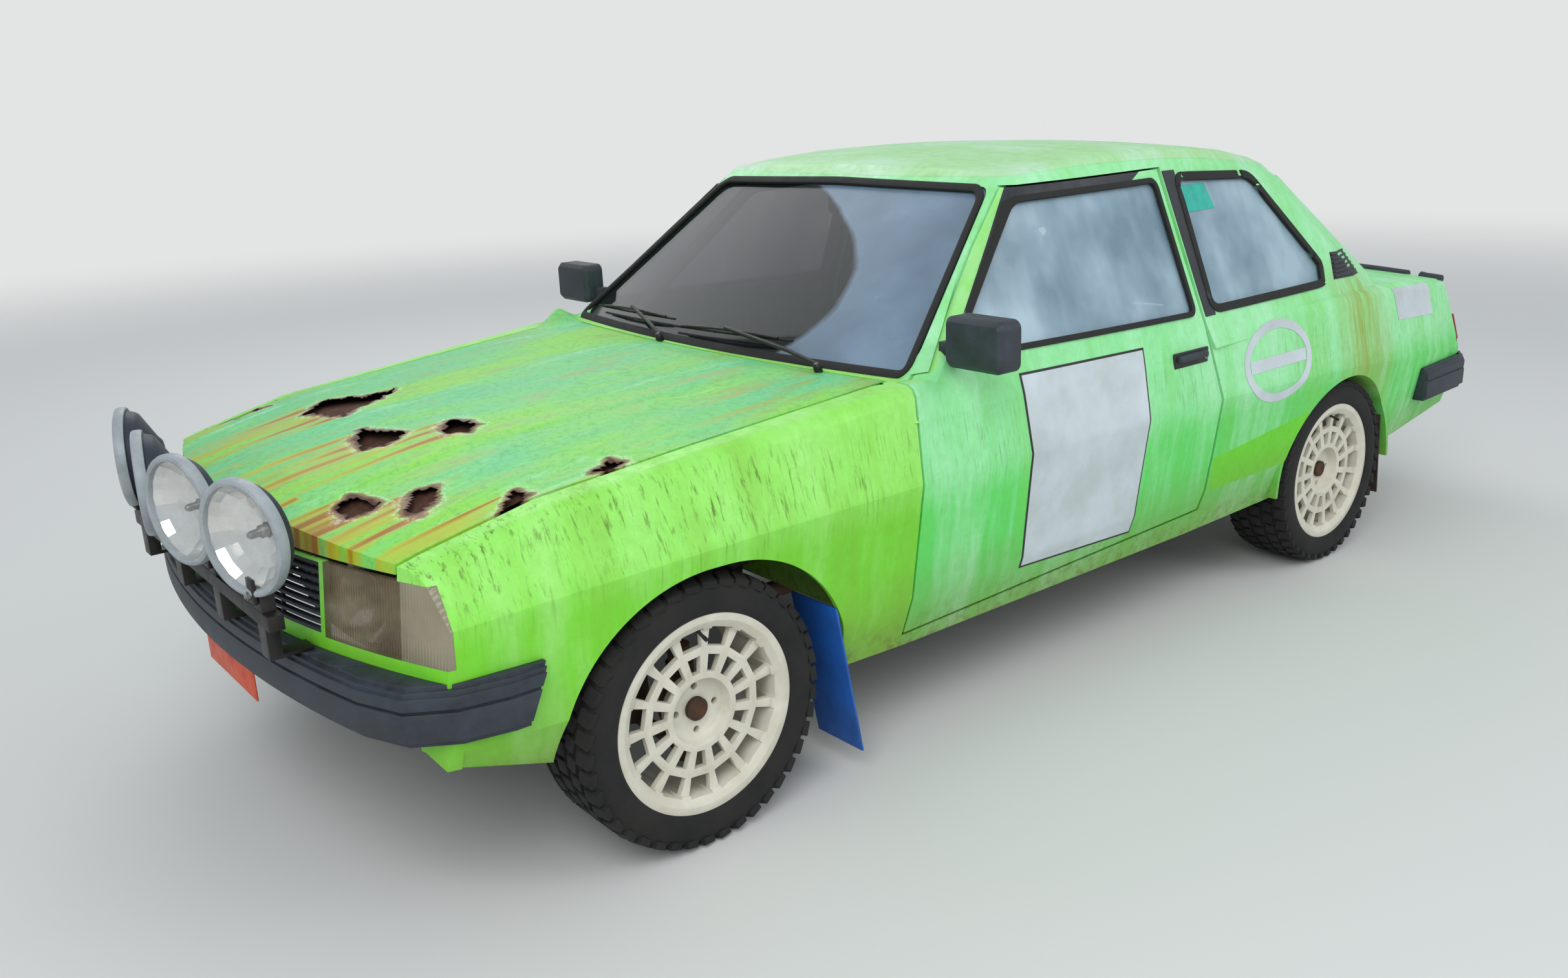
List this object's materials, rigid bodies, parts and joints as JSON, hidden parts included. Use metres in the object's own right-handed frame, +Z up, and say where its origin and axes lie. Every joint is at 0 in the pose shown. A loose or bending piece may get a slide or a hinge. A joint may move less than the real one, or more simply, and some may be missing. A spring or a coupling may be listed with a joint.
{
  "type": "rally car",
  "caption": "Two-door rally saloon with extra driving lamps, roll cage, mudflaps and hinged doors, bonnet and boot.",
  "frame": {"origin": "on the ground under the middle of the car's overall length and width", "axes": "+Z up, +Y towards the tail, +X towards the car's left side"},
  "size_m": [1.908, 4.414, 1.3798],
  "materials": {
    "lime_paint": "faded lime green paint, streaked and rusty",
    "mint_paint": "faded mint green paint, streaked and stained",
    "underbody": "dull dark underbody coating with rust",
    "black_plastic": "sun-greyed black plastic",
    "lamp_housing": "dark blue-black plastic",
    "black_metal": "chipped black paint",
    "clear_glass": "clear glass with haze",
    "lamp_glass": "hazed lamp glass",
    "red_lens": "red lens",
    "plate_paint": "blank orange-red plate",
    "blue_flap": "blue flexible sheet",
    "dark_flap": "dark brown flexible sheet",
    "cage_paint": "cream paint",
    "trim_plastic": "dark grained plastic",
    "seat_fabric": "dark woven cloth",
    "engine_metal": "oily cast metal",
    "chassis_metal": "black, rusty chassis metal",
    "exhaust_steel": "rusty steel",
    "wheel_paint": "dirty cream-white paint",
    "tyre_rubber": "dusty black rubber"
  },
  "bodies": {
    "body": {"roof_panel": "mint_paint", "side_left": "mint_paint", "side_right": "mint_paint", "front_wing_left": "lime_paint", "front_wing_right": "lime_paint", "nose_panel": "lime_paint", "headlamps": "lamp_glass", "grille": "black_plastic", "scuttle": "lime_paint", "rear_deck": "mint_paint", "tail_panel": "mint_paint", "tail_lamps": "red_lens", "floor_pan": "underbody", "inner_wings": "underbody", "windscreen": "clear_glass", "rear_window": "clear_glass", "quarter_windows": "clear_glass", "front_bumper": "black_plastic", "rear_bumper": "black_plastic", "number_plate": "plate_paint", "driving_lamps": "lamp_housing", "driving_lamp_lenses": "lamp_glass", "lamp_bar": "black_metal", "front_crossmember": "chassis_metal", "rear_axle": "chassis_metal", "engine_block": "engine_metal", "exhaust": "exhaust_steel", "front_mudflaps": "blue_flap", "rear_mudflaps": "dark_flap", "roll_cage": "cage_paint", "dashboard": "trim_plastic", "steering_wheel": "trim_plastic", "seats": "seat_fabric", "wipers": "black_metal"},
    "knuckle_left": {"knuckle_left": "chassis_metal"},
    "knuckle_right": {"knuckle_right": "chassis_metal"},
    "door_left": {"door_left": "mint_paint", "door_glass_left": "clear_glass", "mirror_left": "black_plastic"},
    "door_right": {"door_right": "mint_paint", "door_glass_right": "clear_glass", "mirror_right": "black_plastic"},
    "bonnet": {"bonnet": "lime_paint"},
    "boot_lid": {"boot_lid": "mint_paint"},
    "wheel_front_left": {"tyre_front_left": "tyre_rubber", "rim_front_left": "wheel_paint"},
    "wheel_front_right": {"tyre_front_right": "tyre_rubber", "rim_front_right": "wheel_paint"},
    "wheel_rear_left": {"tyre_rear_left": "tyre_rubber", "rim_rear_left": "wheel_paint"},
    "wheel_rear_right": {"tyre_rear_right": "tyre_rubber", "rim_rear_right": "wheel_paint"}
  },
  "joints": [
    {"name": "steer_left", "type": "hinge", "parent": "body", "child": "knuckle_left", "pos_m": [0.695, -1.379, 0.302], "axis": [0, 0, 1], "range_deg": [-30, 30]},
    {"name": "front_wheel_left", "type": "hinge", "parent": "knuckle_left", "child": "wheel_front_left", "pos_m": [0.695, -1.379, 0.302], "axis": [1, 0, 0], "continuous": true},
    {"name": "rear_wheel_left", "type": "hinge", "parent": "body", "child": "wheel_rear_left", "pos_m": [0.695, 1.139, 0.302], "axis": [1, 0, 0], "continuous": true},
    {"name": "door_left", "type": "hinge", "parent": "body", "child": "door_left", "pos_m": [0.827, -0.757, 0.6], "axis": [0, 0, -1], "range_deg": [0, 65]},
    {"name": "steer_right", "type": "hinge", "parent": "body", "child": "knuckle_right", "pos_m": [-0.695, -1.379, 0.302], "axis": [0, 0, 1], "range_deg": [-30, 30]},
    {"name": "front_wheel_right", "type": "hinge", "parent": "knuckle_right", "child": "wheel_front_right", "pos_m": [-0.695, -1.379, 0.302], "axis": [1, 0, 0], "continuous": true},
    {"name": "rear_wheel_right", "type": "hinge", "parent": "body", "child": "wheel_rear_right", "pos_m": [-0.695, 1.139, 0.302], "axis": [1, 0, 0], "continuous": true},
    {"name": "door_right", "type": "hinge", "parent": "body", "child": "door_right", "pos_m": [-0.827, -0.757, 0.6], "axis": [0, 0, 1], "range_deg": [0, 65]},
    {"name": "bonnet", "type": "hinge", "parent": "body", "child": "bonnet", "pos_m": [0, -0.783, 0.9], "axis": [-1, 0, 0], "range_deg": [0, 55]},
    {"name": "boot_lid", "type": "hinge", "parent": "body", "child": "boot_lid", "pos_m": [0, 1.594, 0.866], "axis": [1, 0, 0], "range_deg": [0, 60]}
  ],
  "couplings": [
    {"joint": "steer_right", "follows": "steer_left", "ratio": 1}
  ]
}
